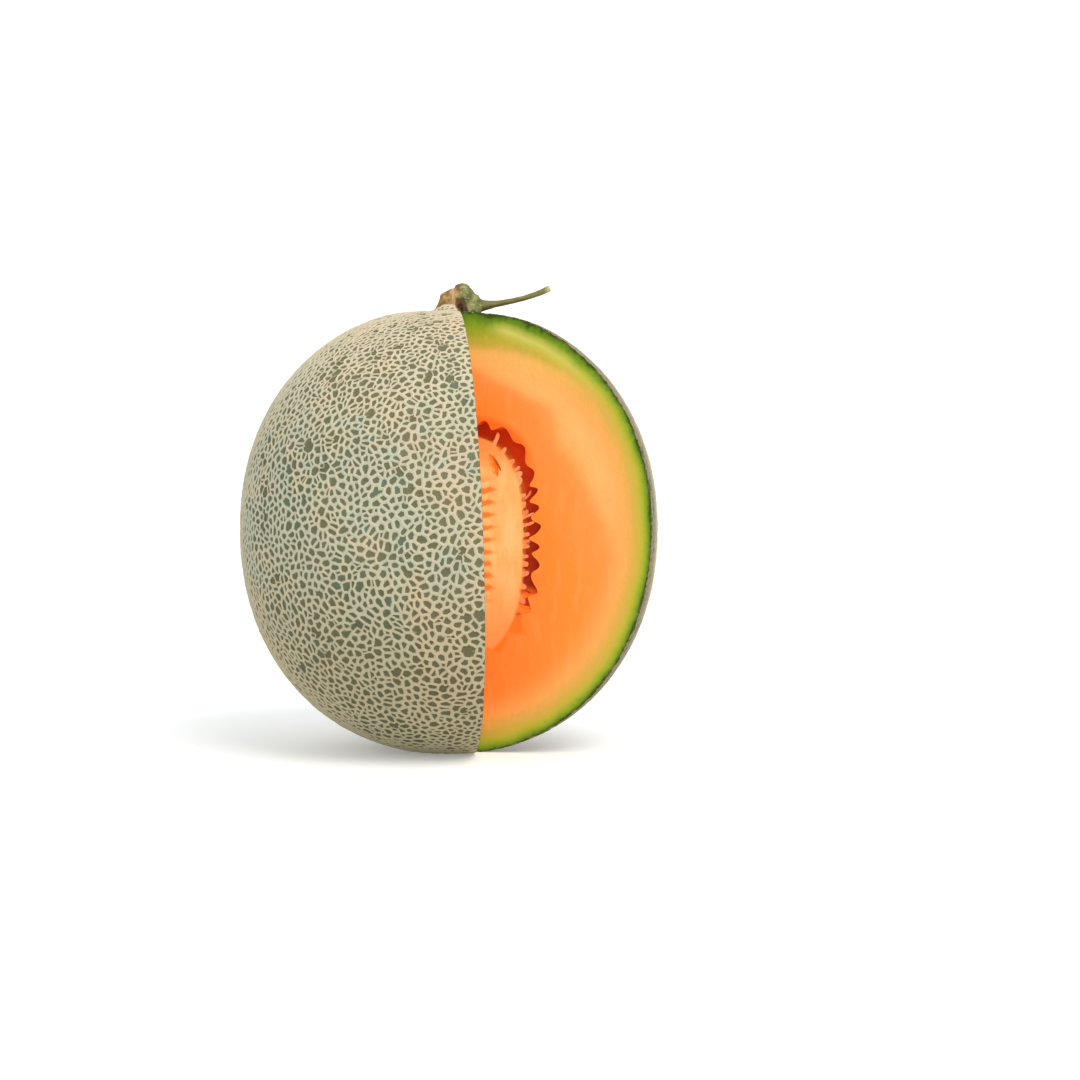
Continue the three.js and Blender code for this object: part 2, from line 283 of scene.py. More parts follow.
def netted_skin():
    """The whole skin, with the rounded lines of cork standing on it."""
    net = cell_borders()
    wrap_over(SKIN, net.verts, lambda direction: NET_HEIGHT)
    for vert in net.verts:
        vert.co.z -= SKIN["level"]
    crests = set(net.verts)
    cells = list(net.faces)
    inset_cells(net, cells)
    middles = set(bmesh.ops.poke(net, faces=cells)["verts"])
    for vert in net.verts:
        direction = vert.co.normalized()
        height = -NET_HEIGHT * FLOOR_DISH if vert in middles else 0
        if vert in crests:
            height = NET_HEIGHT * (1 + CREST_UNEVEN * noise.noise(direction * CRESTS_ROUND))
        vert.co = direction * (skin_reach(direction) + height)
        vert.co.z += SKIN["level"]
    bmesh.ops.recalc_face_normals(net, faces=net.faces)
    return as_object(net, "netted_rind")


def line_height(spot):
    """Height of a spot over the skin between the lines, as a share of a line's height."""
    spot = spot - Vector((0, 0, WIDEST))
    return (spot.length - skin_reach(spot.normalized())) / NET_HEIGHT


def mark(piece, name, number):
    """Keeps a number worked out at each vertex in the mesh, for the material."""
    with opened(piece) as shape:
        layer = shape.verts.layers.float.new(name)
        for vert in shape.verts:
            vert[layer] = number(vert.co)


def ground():
    """A block of all that lies under the level on which the melon stands."""
    block = bmesh.new()
    bmesh.ops.create_cube(block, size=4 * WEDGE_REACH)
    bmesh.ops.translate(block, verts=block.verts, vec=(0, 0, -2 * WEDGE_REACH))
    return as_object(block, "ground")


rind = netted_skin()
carve(rind, rounded_ball("inside", RIND_INSIDE))
carve(rind, wedge_of_air())
carve(rind, ground())
refill_cuts(rind)
mark(rind, "line", line_height)


class Value:
    """A number in a material. Sums with it add their own Math nodes."""

    def __init__(self, finish, socket):
        self.finish = finish
        self.socket = socket

    def math(self, operation, *values):
        return self.finish.node("ShaderNodeMath", {"operation": operation}, dict(enumerate(values)))

    def __add__(self, other):
        return self.math("ADD", self, other)

    def __radd__(self, other):
        return self.math("ADD", other, self)

    def __sub__(self, other):
        return self.math("SUBTRACT", self, other)

    def __rsub__(self, other):
        return self.math("SUBTRACT", other, self)

    def __mul__(self, other):
        return self.math("MULTIPLY", self, other)

    def __rmul__(self, other):
        return self.math("MULTIPLY", other, self)

    def __truediv__(self, other):
        return self.math("DIVIDE", self, other)

    def __rtruediv__(self, other):
        return self.math("DIVIDE", other, self)

    def __pow__(self, other):
        return self.math("POWER", self, other)

    def __abs__(self):
        return self.math("ABSOLUTE", self)

    def most(self, other):
        return self.math("MAXIMUM", self, other)

    def least(self, other):
        return self.math("MINIMUM", self, other)

    def between(self, low, high):
        """Rises smoothly from 0 at low to 1 at high."""
        settings = {"interpolation_type": "SMOOTHSTEP"}
        inputs = {"Value": self, "From Min": low, "From Max": high}
        return self.finish.node("ShaderNodeMapRange", settings, inputs)


class Finish:
    """A material, its shader and the one way to add a node to it."""

    def __init__(self, name):
        self.material = bpy.data.materials.new(name)
        self.material.use_nodes = True
        self.tree = self.material.node_tree
        self.shader = self.tree.nodes["Principled BSDF"]

    def node(self, kind, settings, inputs, output=0):
        """Adds a node, sets it, gives its sockets values or links, and returns an output."""
        made = self.tree.nodes.new(kind)
        for key, value in settings.items():
            if key == "stops":
                self.set_stops(made.color_ramp, value)
            else:
                setattr(made, key, value)
        for key, value in inputs.items():
            self.feed(made.inputs[key], value)
        return Value(self, made.outputs[output])

    def set_stops(self, ramp, stops):
        """Gives a ramp its stops. They change places as they move, so they are placed twice."""
        for _ in stops[2:]:
            ramp.elements.new(0.5)
        for element, (position, colour) in zip(ramp.elements, stops):
            element.position = position
        for element, (position, colour) in zip(ramp.elements, stops):
            element.position = position
            element.color = colour

    def feed(self, socket, value):
        if isinstance(value, Value):
            self.tree.links.new(value.socket, socket)
        else:
            socket.default_value = value

    def set(self, **values):
        """Feeds the shader's own sockets, named with _ for a space."""
        for key, value in values.items():
            self.feed(self.shader.inputs[key.replace("_", " ")], value)

    def place(self):
        return self.node("ShaderNodeTexCoord", {}, {}, "Object")

    def parts(self, place):
        """The three parts of a place."""
        return [self.node("ShaderNodeSeparateXYZ", {}, {0: place}, axis) for axis in "XYZ"]

    def scaled(self, place, scale):
        """A place on which a pattern is drawn out along the axes scaled by less than 1."""
        return self.node("ShaderNodeMapping", {}, {"Vector": place, "Scale": scale})

    def kept(self, name):
        """A number kept in the mesh."""
        return self.node("ShaderNodeAttribute", {"attribute_name": name}, {}, "Fac")

    def noise(self, place, size, detail=2.0, roughness=0.5):
        """Cloudy noise with patches of about this size."""
        inputs = {"Vector": place, "Scale": 1 / size, "Detail": detail, "Roughness": roughness}
        return self.node("ShaderNodeTexNoise", {}, inputs)

    def blend(self, share, first, second):
        """Mixes two colours."""
        inputs = {0: share, 6: first, 7: second}
        return self.node("ShaderNodeMix", {"data_type": "RGBA"}, inputs, 2)

    def ramp(self, share, stops):
        return self.node("ShaderNodeValToRGB", {"stops": stops}, {0: share})

    def bump(self, height, depth, strength):
        inputs = {"Height": height, "Distance": depth, "Strength": strength}
        return self.node("ShaderNodeBump", {}, inputs)


def tone(red, green, blue):
    """A colour of 0 to 255, in the even scale that a shader wants."""
    parts = [value / 255 for value in (red, green, blue)]
    even = [v / 12.92 if v < 0.04045 else ((v + 0.055) / 1.055) ** 2.4 for v in parts]
    return (*even, 1)


def from_level(finish, place, level):
    """The three parts of a place, counted from the middle of the fruit at a level."""
    inputs = {0: place, 1: (0, 0, level)}
    return finish.parts(finish.node("ShaderNodeVectorMath", {"operation": "SUBTRACT"}, inputs))


def from_axis(parts):
    """Distance of a place from the upright axis of the fruit."""
    x, y, z = parts
    return (x * x + y * y) ** 0.5


def body_share(parts, body):
    """How far out a place is in a rounded body, from 0 in the middle to 1 on its surface."""
    across = from_axis(parts) * (1 / body["radius"])
    up = (parts[2] * (1 / body["top"])).most(parts[2] * (-1 / body["bottom"]))
    return (across ** body["fullness"] + up ** body["fullness"]) ** (1 / body["fullness"])


def measure(finish, place, start, way):
    """Distance of a place from a start, measured along one way."""
    settings = {"operation": "DOT_PRODUCT"}
    along = finish.node("ShaderNodeVectorMath", settings, {0: place, 1: tuple(way)}, "Value")
    return along - start.dot(way)


def behind_cuts(finish, place, back=0, lean=WEDGE_LEAN):
    """Distance behind the sides of a wedge, and less than 0 inside the wedge."""
    start = WEDGE_EDGE + Vector((0, back, 0))
    one, other = [measure(finish, place, start, inward) for inward, outward, up in cut_frames(lean)]
    return one.most(other)


def through_rind(parts):
    """How deep a place is: 0 on the skin, 1 on the inside of the rind, more in the flesh."""
    outer = 1 / body_share(parts, SKIN)
    inner = 1 / body_share(parts, RIND_INSIDE)
    return (outer - 1) / (outer - inner)


# Tones of the section from the skin inwards. A stop at 1 would lie this many thicknesses of
# the rind deep.
SECTION_DEPTH = 3.2
SECTION_STOPS = [
    (0.0, tone(54, 74, 12)),
    (0.02, tone(86, 118, 22)),
    (0.06, tone(120, 148, 32)),
    (0.11, tone(152, 164, 44)),
    (0.17, tone(180, 170, 56)),
    (0.26, tone(198, 166, 70)),
    (0.38, tone(216, 164, 78)),
    (0.5, tone(234, 163, 84)),
    (0.85, tone(246, 160, 88)),
]


def section_colour(finish, place, parts, depth):
    """Green under the skin, which pales through yellow into the peach of the flesh."""
    cloud = finish.noise(place, 9 * MM, detail=3) - 0.5
    fleck = finish.noise(place, 1.8 * MM, detail=3) - 0.5
    stem_end = parts[2].between(42 * MM, 72 * MM)
    root = (parts[0] * parts[0] + parts[1] * parts[1]).between((22 * MM) ** 2, (12 * MM) ** 2)
    root = root * stem_end
    uneven = depth * (1 / SECTION_DEPTH) * (1 - 0.5 * stem_end)
    uneven = uneven + cloud * 0.1 + fleck * 0.05 - root * 0.025
    colour = finish.ramp(uneven, SECTION_STOPS)
    colour = finish.blend(stem_end * uneven.between(0.2, 0.34), colour, tone(241, 186, 100))
    vein = 1 - (abs(depth * (1 / SECTION_DEPTH) + cloud * 0.05 - 0.21) * 8).least(1)
    vein = vein * stem_end * (1 - root)
    return finish.blend(vein * 0.7, colour, tone(216, 205, 110))


def rind_finish():
    finish = Finish("rind")
    place = finish.place()
    parts = from_level(finish, place, WIDEST)
    height = finish.kept("line")
    depth = through_rind(parts)
    # Painted shade darkens the skin towards the bottom. Towards the top the skin is lighter and pinker:
    # partly its own tint, partly painted light from above.
    shade_low_down = parts[2].between(16 * MM, -60 * MM)
    high_up = parts[2].between(20 * MM, 76 * MM)
    broad = finish.noise(place, 30 * MM, detail=2)
    patchy = finish.noise(place, 10 * MM, detail=2)
    tint = finish.noise(place, 7 * MM, detail=2)
    speckle = finish.noise(place, 0.8 * MM, detail=3)

    floor = finish.blend(broad.between(0.35, 0.65), tone(95, 102, 78), tone(114, 110, 80))
    floor = finish.blend(patchy.between(0.52, 0.7) * 0.7, floor, tone(110, 98, 66))
    floor = finish.blend(tint.between(0.45, 0.25) * 0.8, floor, tone(94, 116, 102))
    # Darker low down by painted shade; lighter high up, partly by painted light.
    floor = finish.blend(shade_low_down * 0.7, floor, tone(82, 80, 54))
    floor = finish.blend(high_up * 0.4, floor, tone(136, 124, 92))
    floor = finish.blend(speckle.between(0.5, 0.75) * 0.35, floor, tone(70, 78, 54))

    cork = finish.blend(patchy.between(0.35, 0.65), tone(181, 181, 159), tone(191, 183, 158))
    cork = finish.blend(broad.between(0.52, 0.7) * 0.6, cork, tone(210, 182, 152))
    cork = finish.blend(tint.between(0.42, 0.22) * 0.6, cork, tone(174, 188, 158))
    cork = finish.blend(tint.between(0.66, 0.78) * 0.5, cork, tone(196, 192, 128))
    # Darker low down by painted shade; lighter high up, partly by painted light.
    cork = finish.blend(shade_low_down * 0.7, cork, tone(166, 154, 122))
    cork = finish.blend(high_up * 0.5, cork, tone(226, 206, 176))
    cork = finish.blend(speckle.between(0.45, 0.8) * 0.35, cork, tone(178, 166, 134))

    # Painted shade darkens the skin beside one cut, and only on the side of the fruit that it opens.
    wander = finish.noise(place, 1.7 * MM, detail=1)
    inward, outward, up = cut_frames()[1]
    beside = measure(finish, place, WEDGE_EDGE, inward)
    ahead = measure(finish, place, WEDGE_EDGE, outward).between(-0.5 * MM, 0.5 * MM)
    shade_by_cut = beside.between(16 * MM, 4 * MM) * beside.between(-1 * MM, 0) * ahead
    floor = finish.blend(shade_by_cut * 0.5, floor, tone(74, 74, 50))
    cork = finish.blend(shade_by_cut * 0.85, cork, tone(136, 124, 102))

    ragged = height + (speckle - 0.5) * 0.7 + (wander - 0.5) * 0.35
    line = ragged.between(-0.04, 0.32)
    skin = finish.blend(line, floor, cork)
    # A dark green line of painted shade runs along the very edge of that cut.
    skin = finish.blend(beside.between(1.3 * MM, 0.3 * MM) * shade_by_cut, skin, tone(66, 78, 26))

    # On the side away from the lip, a ring of painted shadow darkens the skin where it meets the stem's
    # foot.
    off_stem = (parts[0] - STEM_AT[0]) ** 2 + (parts[1] - STEM_AT[1]) ** 2
    foot = off_stem.between((11.5 * MM) ** 2, (9 * MM) ** 2) * high_up
    foot = foot * (parts[0] * LIP_WAY[0] + parts[1] * LIP_WAY[1]).between(2.4 * MM, 3.2 * MM)
    skin = finish.blend(foot, skin, tone(70, 62, 30))
    on_cut = behind_cuts(finish, place).between(0.12 * MM, 0.03 * MM)
    colour = finish.blend(on_cut, skin, section_colour(finish, place, parts, depth))

    grain = finish.noise(place, 0.35 * MM, detail=3, roughness=0.65)
    relief = grain * (0.35 + 0.65 * line) + speckle * 0.6
    finish.set(
        Base_Color=colour,
        Roughness=0.55 + 0.3 * line * (1 - on_cut) - 0.15 * on_cut,
        Normal=finish.bump(relief, 0.1 * MM, 0.6),
        Specular_IOR_Level=0.1,
    )
    return finish.material


rind.data.materials.clear()
rind.data.materials.append(rind_finish())
smooth_all_but_cuts(rind, math.radians(50))
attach(rind, "root")
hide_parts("rind")

# ---- Flesh --------------------------------------------------------------------------------
# The flesh is one thick body of juicy orange tissue, grown to the rind outside. Inside it
# holds the seed cavity, whose wall is scalloped where the threads of the pulp grew out of it.
# The cuts are wet and smooth, palest near the rind and deepest orange at the cavity.

# The flesh is 0.01 mm fuller than the space in the rind, so that no gap shows between them.
FLESH_OUTSIDE = {**RIND_INSIDE, "radius": 68.41 * MM, "top": 70.61 * MM, "bottom": 73.41 * MM}
CAVITY = {"radius": 33.3 * MM, "top": 40 * MM, "bottom": 44 * MM, "fullness": 3.1, "level": WIDEST - 1 * MM}
SCALLOP = 5.6 * MM
SCALLOP_PITCH = 7 * MM
SCALLOPS_ROUND = 22
SCALLOP_LEVEL = 0.44
CAVITY_ROUND = 264
CAVITY_RINGS = 200


def lobe(direction):
    """The rounded lobes of the cavity wall: 0 in the creases between them, 1 on their backs."""
    polar = math.acos(max(-1, min(1, direction.z)))
    turn = math.atan2(direction.y, direction.x)
    mean_reach = (CAVITY["radius"] + CAVITY["top"]) / 2
    row = polar * mean_reach * math.pi / SCALLOP_PITCH + 1.3 * noise.noise(direction * 3)
    column = turn * SCALLOPS_ROUND / 2 + 1.2 * noise.noise(direction * 4 + Vector((5, 0, 0)))
    return math.sin(row) ** 2 * (0.6 + 0.4 * abs(math.sin(column)))


def scallops(direction):
    """Height of the lobes over the even cavity wall. They are lower at both ends."""
    size = 0.8 + 0.6 * noise.noise(direction * 9 + Vector((0, 7, 0)))
    fade = min(1, 3 * math.hypot(direction.x, direction.y)) * (0.55 if direction.z > 0.5 else 1)
    return SCALLOP * (SCALLOP_LEVEL - lobe(direction)) * size * fade


def scalloped_cavity():
    return rounded_ball("cavity", CAVITY, CAVITY_ROUND, CAVITY_RINGS, scallops)


flesh = rounded_ball("orange_flesh", FLESH_OUTSIDE)
carve(flesh, scalloped_cavity())
carve(flesh, wedge_of_air())
refill_cuts(flesh)
mark(flesh, "lobe", lambda spot: lobe((spot - Vector((0, 0, CAVITY["level"]))).normalized()))


def flesh_finish():
    finish = Finish("flesh")
    place = finish.place()
    parts = from_level(finish, place, WIDEST)
    depth = through_rind(parts)
    upright = finish.scaled(place, (1, 1, 0.28))
    cloud = finish.noise(place, 12 * MM, detail=3)
    streak = finish.noise(upright, 3.2 * MM, detail=4)
    fibre = finish.noise(place, 1.6 * MM, detail=3)

    uneven = from_axis(parts) + parts[2].most(-16 * MM) * 0.55 + (cloud - 0.5) * (9 * MM)
    uneven = uneven + (parts[2] - 44 * MM).most(0) * 1.4
    inner = finish.ramp(uneven * (1 / (70 * MM)), [
        (0.1, tone(246, 136, 54)),
        (0.36, tone(245, 137, 54)),
        (0.51, tone(246, 141, 52)),
        (0.63, tone(245, 143, 60)),
        (0.76, tone(245, 145, 66)),
        (0.82, tone(244, 151, 76)),
        (0.89, tone(241, 170, 96)),
        (1.0, tone(234, 182, 109)),
    ])
    cut = finish.blend(depth.between(1.3, 2.9), section_colour(finish, place, parts, depth), inner)
    cut = finish.blend(streak.between(0.5, 0.72) * 0.14, cut, tone(252, 184, 116))
    cut = finish.blend(streak.between(0.45, 0.28) * 0.12, cut, tone(249, 138, 52))
    # The cavity wall has a deep red of its own. Painted shade darkens it towards the bottom, and most in the
    # creases between the lobes.
    high = parts[2].between(-36 * MM, 34 * MM)
    back = finish.kept("lobe")
    shaded_creases = finish.blend(high, tone(84, 2, 0), tone(226, 64, 8))
    wall = finish.blend(high, tone(156, 24, 4), tone(246, 112, 26))
    wall = finish.blend(fibre.between(0.45, 0.7) * 0.3, wall, tone(236, 92, 20))
    wall = finish.blend(back.between(0.55, 0.15), wall, shaded_creases)
    from_wall = 1 / body_share(from_level(finish, place, CAVITY["level"]), CAVITY)
    # Painted light: a glow in the cut flesh round the top of the cavity.
    painted_glow = from_wall.between(0.92, 0.985) * parts[2].between(14 * MM, 34 * MM)
    cut = finish.blend(painted_glow * 0.7, cut, tone(248, 98, 12))
    on_cut = behind_cuts(finish, place).between(0.8 * MM, 0.05 * MM)
    colour = finish.blend(on_cut, wall, cut)

    grain = finish.noise(place, 0.55 * MM, detail=3, roughness=0.6)
    finish.set(
        Base_Color=colour,
        Roughness=0.36 + 0.2 * finish.noise(place, 3 * MM, detail=3),
        Normal=finish.bump(grain + fibre * 1.5, 0.14 * MM, 0.5),
        Specular_IOR_Level=0.15,
    )
    return finish.material


flesh.data.materials.clear()
flesh.data.materials.append(flesh_finish())
smooth_all_but_cuts(flesh, math.radians(50))
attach(flesh, "root")
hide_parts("flesh")

# ---- Pulp and seeds -----------------------------------------------------------------------
# The pulp is the soft pale filling of the cavity, with the seeds packed flat in it. It has
# shrunk from the wall, and only short fleshy threads still reach across the gap.
# The cuts run through it, so it shows as a long lens with a comb of threads at its edge.

PULP = {"radius": 28.6 * MM, "top": 39.2 * MM, "bottom": 42 * MM, "fullness": 2.84, "level": WIDEST - 5 * MM}
PULP_GRAIN = 0.36 * MM

# The lumps of the pulp: height in mm, and width.
LUMP_HIGH = 0.5
LUMP_WIDE = 4 * MM

# Behind the crevice the pulp fills the cavity, up to a wedge that is set back this far. It
# leans by more than the cuts, so that the crevice is shallower further down.
CREVICE_BACK = 6.6 * MM
CREVICE_LEAN = WEDGE_LEAN + math.radians(11)
CREVICE_FLOOR = {**CAVITY, "radius": 37.5 * MM, "top": 46 * MM, "bottom": 50 * MM}

# Rows of nubs: how far behind the cut, and how many. A row starts at an angle from the top and
# covers a span, both in radians. Lengths and hooks are in mm.
NUB_ROWS = [(0.3 * MM, 17), (2.2 * MM, 7)]
NUB_START = 0.5
NUB_SPAN = 1.95
NUB_LENGTHS = (1.7, 3.0)
NUB_HOOKS = (-1.4, 2.6)
LONG_NUB = 4.6 * MM
LONG_NUB_SHARE = 0.22
NUB_THICK = 0.92 * MM
NUB_RADII = (1.5, 1.1, 0.9, 1.0, 0.35)
NUB_SUNK = 2.5 * MM
NUB_SEED = 31

# Seeds: half sizes, and how they lie. Their depth behind the cut is in mm, and the most that
# they tilt in its plane is in degrees.
SEED_SIZE = (5.0 * MM, 1.9 * MM, 1.1 * MM)
SEED_OUT = 14.6 * MM
SEED_BEHIND = 0.9
SEED_TILT = 10
SEED_DIP = math.radians(6)
SEED_PITCH = 4.4 * MM
SEED_ROWS = range(-7, 5)
FIRST_SEED = 3.2 * MM

# What lies on a cut is placed from the fruit's axis, this many mm out from the edge.
EDGE_TO_AXIS = 7.3

# Hollows on each cut: place out and up, half the width and height, turn in degrees, and half
# the depth. Lengths are in mm.
RECESSES = [
    ((18.3, 22.5), (1.5, 4.4), 17, 1.3),
    ((19.7, 23.2), (0.55, 3.2), 28, 1.8),
]


def add_tube(shape, points, radii, thickness, order, along, around):
    """Adds a soft round tube along a few points, each with its share of the thickness."""
    line = bpy.data.curves.new("tube", "CURVE")
    line.dimensions = "3D"
    line.bevel_depth = thickness
    line.bevel_resolution = around
    line.use_fill_caps = True
    spline = line.splines.new("NURBS")
    spline.points.add(len(points) - 1)
    for spot, point, radius in zip(spline.points, points, radii):
        spot.co = (*point, 1)
        spot.radius = radius
    spline.use_endpoint_u = True
    spline.order_u = order
    spline.resolution_u = along
    holder = bpy.data.objects.new("tube", line)
    shape.from_mesh(holder.to_mesh())
    holder.to_mesh_clear()
    bpy.data.objects.remove(holder)
    bpy.data.curves.remove(line)


def add_shape(shape, part):
    """Adds one bmesh to another."""
    mesh = bpy.data.meshes.new("part")
    part.to_mesh(mesh)
    part.free()
    shape.from_mesh(mesh)
    bpy.data.meshes.remove(mesh)


def fuse(piece, grain, adaptivity=0):
    """Makes one skin round all parts of a piece, built up from cubes of a size."""
    skin = piece.modifiers.new("fuse", "REMESH")
    skin.mode = "VOXEL"
    skin.voxel_size = grain
    skin.adaptivity = adaptivity
    settle(piece)


def soften(shape, times):
    """Evens a whole shape out, as often as asked."""
    axes = {"use_axis_x": True, "use_axis_y": True, "use_axis_z": True}
    for _ in range(times):
        bmesh.ops.smooth_vert(shape, verts=shape.verts, factor=0.5, **axes)


def on_the_cut(frame_of_cut, turn):
    """A shape's own turn, and then the one that lays its x and y out and up along a cut."""
    inward, outward, up = frame_of_cut
    return Matrix((outward, up, -inward)).transposed() @ turn


def add_nubs(shape):
    """Short hooked nubs along the edge of each cut, from the pulp out into the crevice."""
    draw = random.Random(NUB_SEED)
    middle = Vector((0, 0, PULP["level"]))
    for inward, outward, up in cut_frames():
        gap = (WEDGE_EDGE - middle).dot(inward)
        for row, count in NUB_ROWS:
            for i in range(count + 1):
                polar = NUB_START + NUB_SPAN * (i + draw.uniform(-0.22, 0.22)) / count
                flat = outward * math.sin(polar) + up * math.cos(polar)
                far = PULP["radius"]
                for _ in range(5):
                    ray = flat * far + inward * (gap + row)
                    far *= reach(PULP, ray.normalized()) / ray.length
                skin = middle + flat * far + inward * (gap + row)
                hook = (up - flat * flat.dot(up)) * draw.uniform(*NUB_HOOKS) * MM
                length = draw.uniform(*NUB_LENGTHS) * MM
                thick = NUB_THICK * draw.uniform(0.8, 1.2)
                if draw.random() < LONG_NUB_SHARE:
                    length = LONG_NUB
                    thick *= 0.75
                points = [
                    skin - flat * NUB_SUNK,
                    skin - flat * 0.3 * MM,
                    skin + flat * 0.55 * length + hook * 0.15,
                    skin + flat * 0.9 * length + hook * 0.75,
                    skin + flat * length + hook * 1.1,
                ]
                add_tube(shape, points, NUB_RADII, thick, order=3, along=4, around=2)


def seeds():
    """A column of seeds beside the inner edge of each cut, which point outwards."""
    shape = bmesh.new()
    draw = random.Random(NUB_SEED + 1)
    for inward, outward, up in cut_frames():
        for row in SEED_ROWS:
            seed = bmesh.new()
            bmesh.ops.create_icosphere(seed, subdivisions=3, radius=1)
            for vert in seed.verts:
                x, y, z = vert.co
                taper = 1 + 0.3 * x
                vert.co = Vector((x * SEED_SIZE[0], y * taper * SEED_SIZE[1], z * SEED_SIZE[2]))
            tilt = math.radians(draw.uniform(-SEED_TILT, SEED_TILT))
            facing = on_the_cut((inward, outward, up), Matrix.Rotation(SEED_DIP, 3, "Y"))
            facing = facing @ Matrix.Rotation(tilt, 3, "Z")
            bmesh.ops.rotate(seed, verts=seed.verts, matrix=facing)
            out = SEED_OUT + draw.uniform(-0.6, 0.6) * MM
            level = FIRST_SEED + row * SEED_PITCH
            middle = WEDGE_EDGE + outward * (out - EDGE_TO_AXIS * MM) + up * level
            middle += inward * SEED_BEHIND * MM
            bmesh.ops.translate(seed, verts=seed.verts, vec=middle)
            add_shape(shape, seed)
    return as_object(shape, "seeds")


def pulp_mass():
    """The lumpy pulp with its nubs, made one with what fills the cavity behind the crevice."""
    lumpy = rounded_ball("pulp", PULP, around=96, rings=72)
    for vert in lumpy.data.vertices:
        spot = vert.co - Vector((0, 0, PULP["level"]))
        vert.co += spot.normalized() * LUMP_HIGH * MM * noise.noise(spot / LUMP_WIDE)
    behind = rounded_ball("crevice_floor", CREVICE_FLOOR, around=96, rings=72)
    carve(behind, wedge_of_air(CREVICE_BACK, CREVICE_LEAN))
    carve(lumpy, behind, "UNION")
    with opened(lumpy) as shape:
        add_nubs(shape)
    fuse(lumpy, PULP_GRAIN, adaptivity=0.05)
    with opened(lumpy) as shape:
        soften(shape, 2)
    carve(lumpy, scalloped_cavity(), "INTERSECT")
    return lumpy


def add_recesses(piece):
    """Two narrow hollows near the top of the pulp on each cut."""
    for inward, outward, up in cut_frames():
        for (out, level), (wide, high), turn, deep in RECESSES:
            hollow = bmesh.new()
            bmesh.ops.create_icosphere(hollow, subdivisions=4, radius=1)
            bmesh.ops.scale(hollow, verts=hollow.verts, vec=(wide * MM, high * MM, deep * MM))
            turned = Matrix.Rotation(math.radians(turn), 3, "Z")
            facing = on_the_cut((inward, outward, up), turned)
            bmesh.ops.rotate(hollow, verts=hollow.verts, matrix=facing)
            middle = WEDGE_EDGE + outward * (out - EDGE_TO_AXIS) * MM + up * level * MM
            bmesh.ops.translate(hollow, verts=hollow.verts, vec=middle)
            bmesh.ops.recalc_face_normals(hollow, faces=hollow.faces)
            carve(piece, as_object(hollow, "hollow"))


pulp = pulp_mass()
carve(pulp, wedge_of_air())
add_recesses(pulp)
carve(pulp, seeds(), "UNION")
refill_cuts(pulp)


def pulp_finish():
    finish = Finish("pulp")
    place = finish.place()
    parts = from_level(finish, place, PULP["level"])
    share = body_share(parts, PULP)
    behind = behind_cuts(finish, place)
    upright = finish.scaled(place, (1, 1, 0.35))
    cloud = finish.noise(upright, 5 * MM, detail=3)
    fibre = finish.noise(place, 1.4 * MM, detail=4)

    pale = finish.blend(cloud.between(0.35, 0.65), tone(251, 187, 110), tone(252, 204, 136))
    pale = finish.blend(fibre.between(0.5, 0.75) * 0.4, pale, tone(253, 180, 124))
    pale = finish.blend(parts[2].between(-4 * MM, -34 * MM) * 0.8, pale, tone(247, 150, 76))
    pale = finish.blend(parts[2].between(22 * MM, 36 * MM) * 0.8, pale, tone(246, 146, 70))

    # Between the seeds the pulp is darker, near the inner edge of the cut.
    row = parts[2] + (PULP["level"] - WIDEST - FIRST_SEED) + (cloud - 0.5) * 3.4 * MM
    row = row * (2 * math.pi / SEED_PITCH)
    wave = finish.node("ShaderNodeMath", {"operation": "COSINE"}, {0: row}) * -0.5 + 0.5
    inner = (from_axis(parts) + (cloud - 0.5) * 5 * MM).between(21 * MM, 13 * MM)
    gaps = (wave + inner - 1).between(-0.1, 0.6)
    gaps = gaps * parts[2].between(-24 * MM, -14 * MM) * parts[2].between(26 * MM, 20 * MM)
    pale = finish.blend(gaps * 0.9, pale, tone(224, 124, 40))

    # Off the cut: the hollows, the deep red floor of the crevice, which closes up into torn tissue further
    # down, and the nubs that stand in it. Painted shade darkens the floor towards the bottom, and the dark
    # slits in the tissue are painted shade.
    hollow = finish.blend(fibre.between(0.35, 0.7), tone(240, 142, 46), tone(250, 170, 76))
    # The floor is red, darkened towards the bottom by painted shade.
    high = parts[2].between(-34 * MM, 34 * MM)
    floor = finish.blend(high, tone(112, 6, 2), tone(232, 80, 14))
    slits = finish.scaled(place, (0.5, 0.5, 1.2))
    # Painted shade: dark slits in the torn tissue.
    slit = finish.noise(slits, 2.4 * MM, detail=2).between(0.47, 0.39)
    slit = slit * parts[2].between(-27 * MM, -23 * MM)
    tissue = finish.blend(slit, tone(242, 122, 36), tone(176, 50, 14))
    floor = finish.blend(parts[2].between(-14 * MM, -19 * MM), floor, tissue)
    nub = finish.blend(cloud.between(0.35, 0.65), tone(251, 144, 88), tone(252, 168, 114))
    nub = finish.blend(parts[2].between(-20 * MM, -27 * MM), nub, floor)
    off_floor = behind_cuts(finish, place, CREVICE_BACK, CREVICE_LEAN)
    standing = off_floor.between(-0.2 * MM, -0.6 * MM)
    beyond = finish.blend(behind.between(3.4 * MM, 1 * MM) * standing, floor, nub)
    on_cut = behind.between(0.7 * MM, 0.1 * MM)
    outside = share.between(0.985, 1.03)
    within = finish.blend(on_cut, hollow, pale)
    colour = finish.blend(outside, within, beyond)
    finish.set(
        Base_Color=colour,
        Roughness=0.32 + 0.25 * cloud,
        Normal=finish.bump(fibre, 0.2 * MM, 0.5),
        Specular_IOR_Level=0.2,
    )
    return finish.material


pulp.data.materials.clear()
pulp.data.materials.append(pulp_finish())
smooth_all_but_cuts(pulp, math.radians(42))
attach(pulp, "root")
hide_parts("seed_mass")

# ---- Stem ---------------------------------------------------------------------------------
# The stem is a dry woody foot, corky and cracked on one side and still green on the other,
# with a rounded knob where the vine was cut. One thin arm of the vine is left on it.

